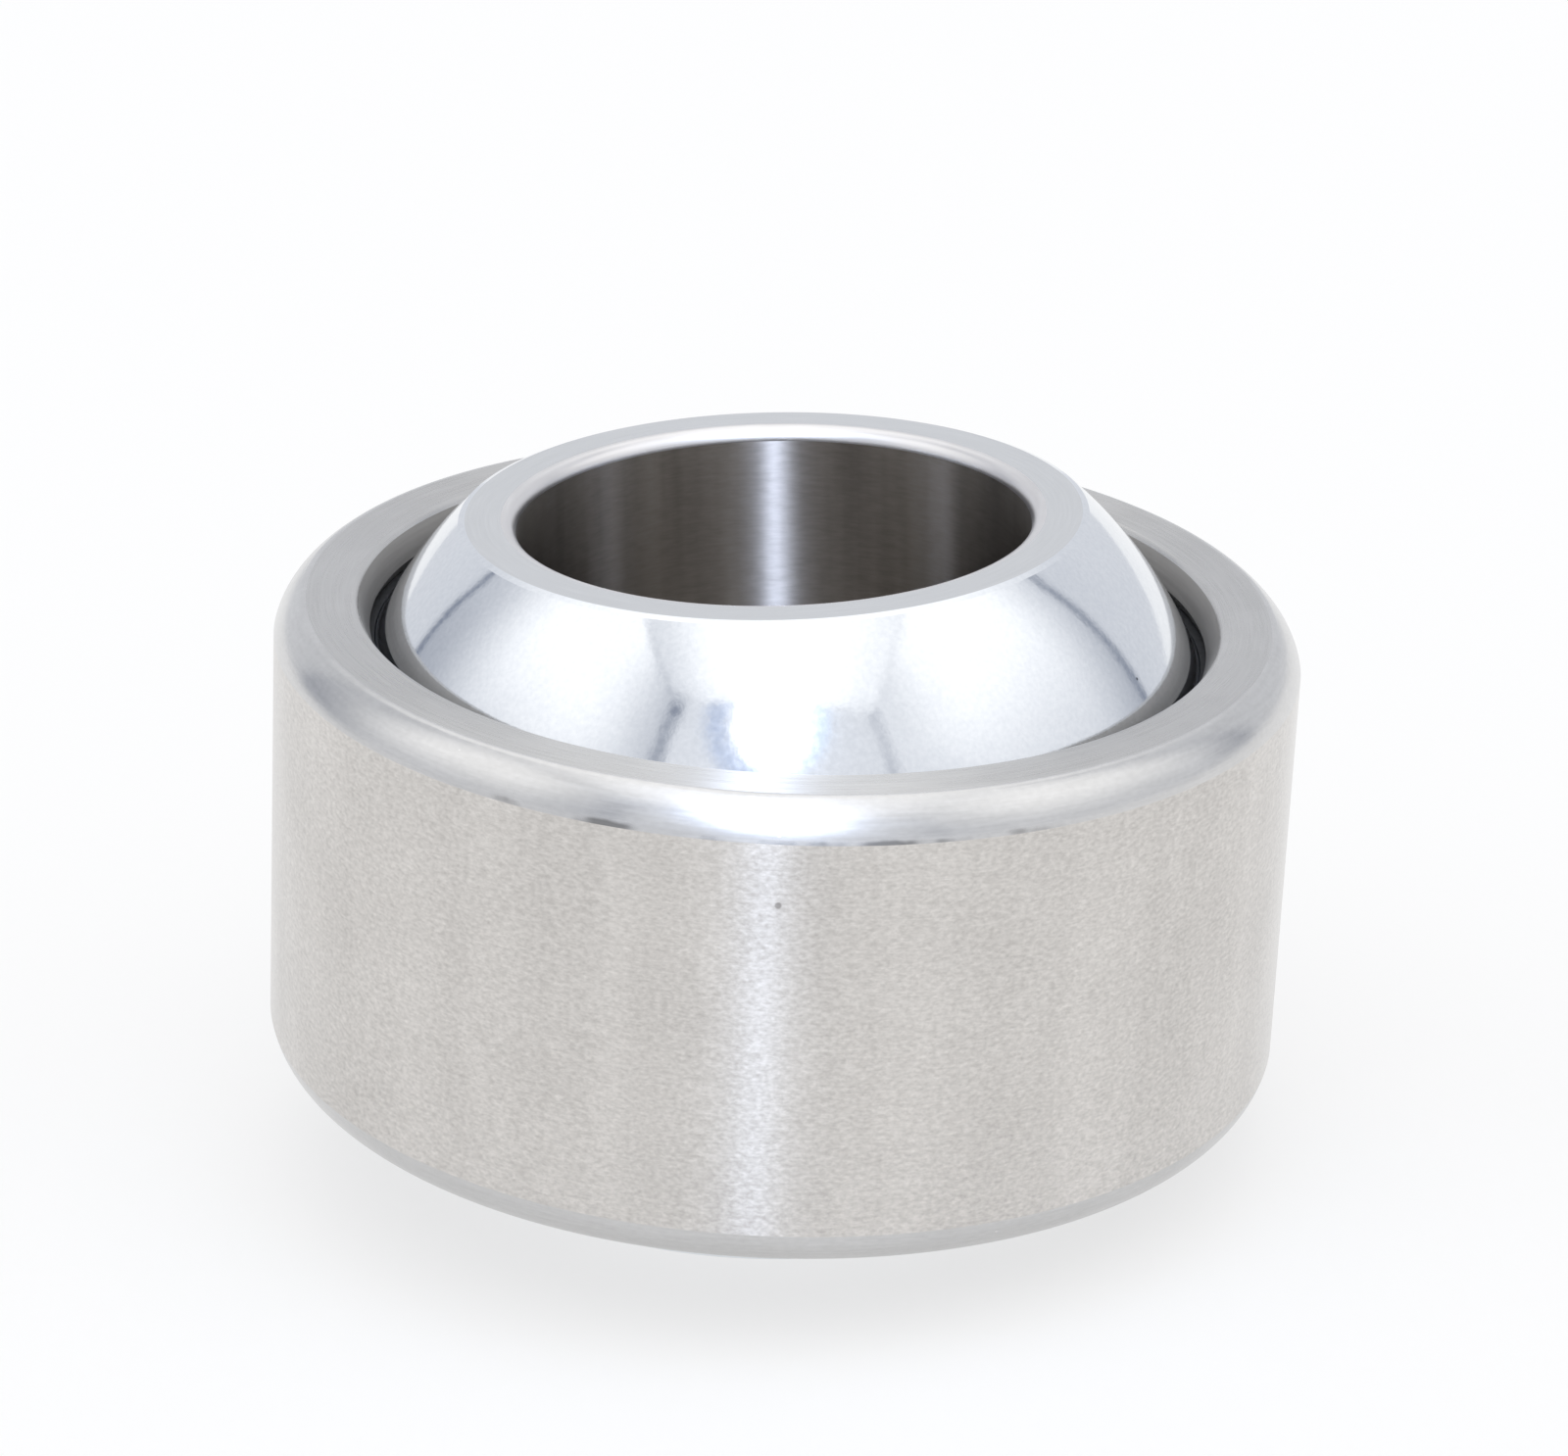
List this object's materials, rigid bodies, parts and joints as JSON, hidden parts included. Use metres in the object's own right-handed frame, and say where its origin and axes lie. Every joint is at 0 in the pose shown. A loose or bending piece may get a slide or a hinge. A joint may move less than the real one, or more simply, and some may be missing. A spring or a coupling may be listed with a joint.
{
  "type": "spherical plain bearing",
  "caption": "Spherical plain bearing: a chromed ball with a shaft bore and flat ends, carried on a thin dry liner in a plain steel outer ring that tilts on it.",
  "frame": {"origin": "centre of the ball, which is the middle of the shaft bore and of the tilt", "axes": "+Z along the shaft bore, +Y along the tilt axis; at rest the outer ring leans towards +X"},
  "size_m": [0.0328, 0.032, 0.021],
  "materials": {
    "ring_steel": "ground outside, polished corners, turned faces and mouths",
    "ball_chrome": "hard chrome, polished, with a bare ground bore",
    "liner": "dark dry sliding layer"
  },
  "bodies": {
    "ball": {"inner_ring": "ball_chrome"},
    "ring": {"outer_ring": "ring_steel", "sliding_liner": "liner"}
  },
  "joints": [
    {"name": "ring_tilt", "type": "hinge", "parent": "ball", "child": "ring", "pos_m": [0, 0, 0], "axis": [0, 1, 0], "range_deg": [-18.5, 11.5]}
  ]
}
